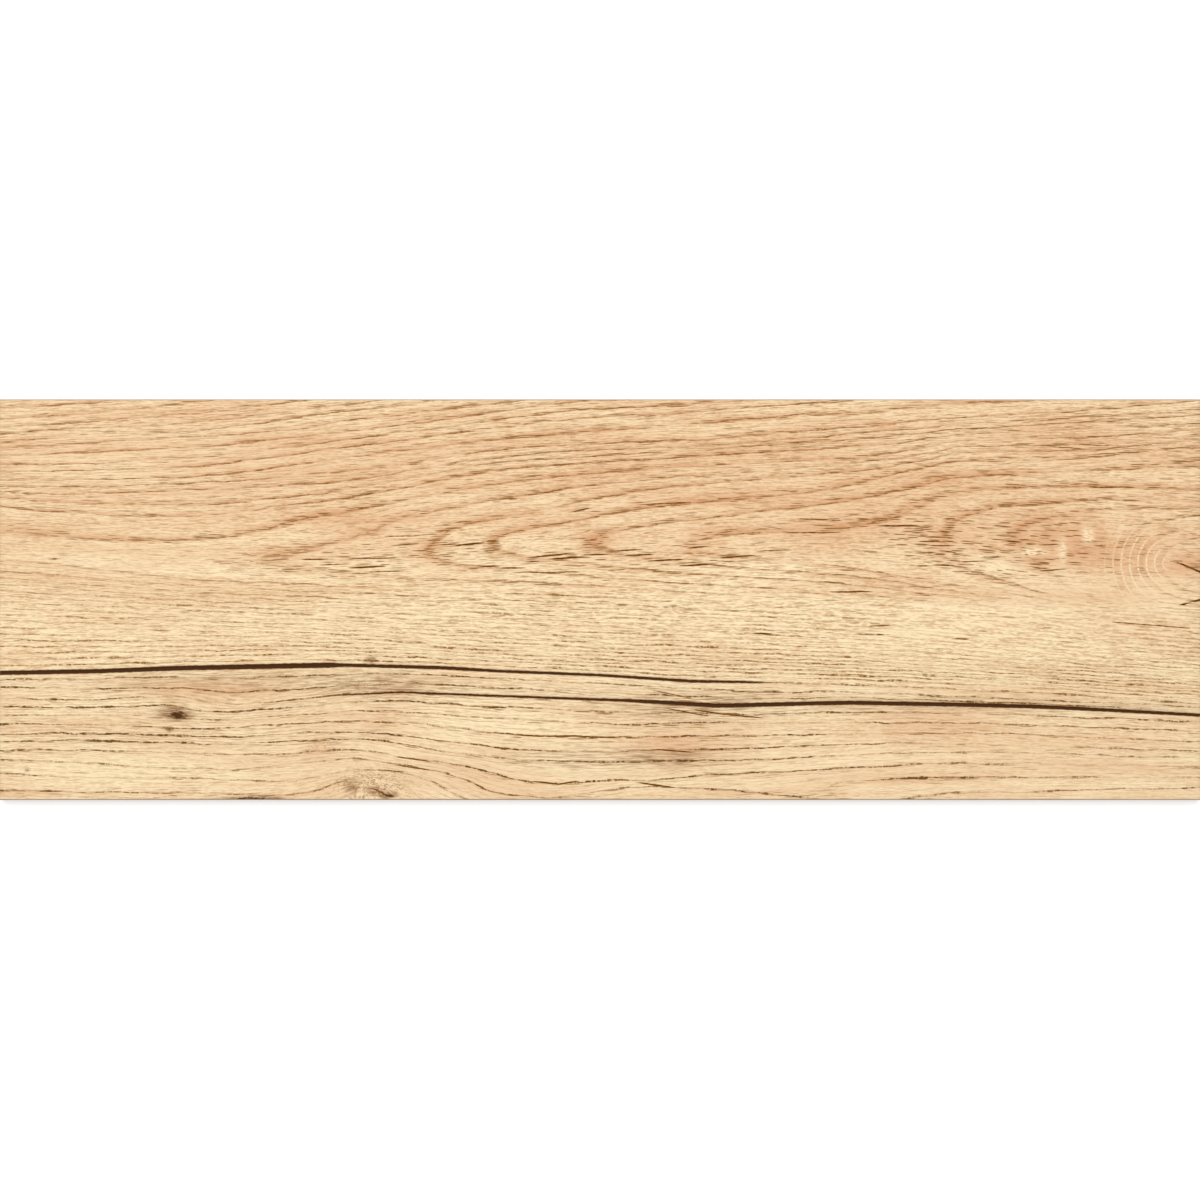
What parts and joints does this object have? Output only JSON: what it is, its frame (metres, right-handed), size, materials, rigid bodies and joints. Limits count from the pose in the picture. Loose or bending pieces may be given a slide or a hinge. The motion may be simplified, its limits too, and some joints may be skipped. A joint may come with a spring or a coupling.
{
  "type": "wood look porcelain plank tile",
  "caption": "Rectangular porcelain plank tile with a printed oak grain face, ground edges with a fine arris, and a ribbed back that keys into adhesive.",
  "frame": {"origin": "centre of the back, on the ribs that the tile rests on", "axes": "+X along the grain and the long side, +Y across the grain, +Z out of the printed face"},
  "size_m": [0.6, 0.2, 0.0085],
  "materials": {
    "porcelain": "matt glazed face printed with oak grain, ground unglazed edges and back"
  },
  "bodies": {
    "root": {"plank_tile": "porcelain"}
  },
  "joints": []
}
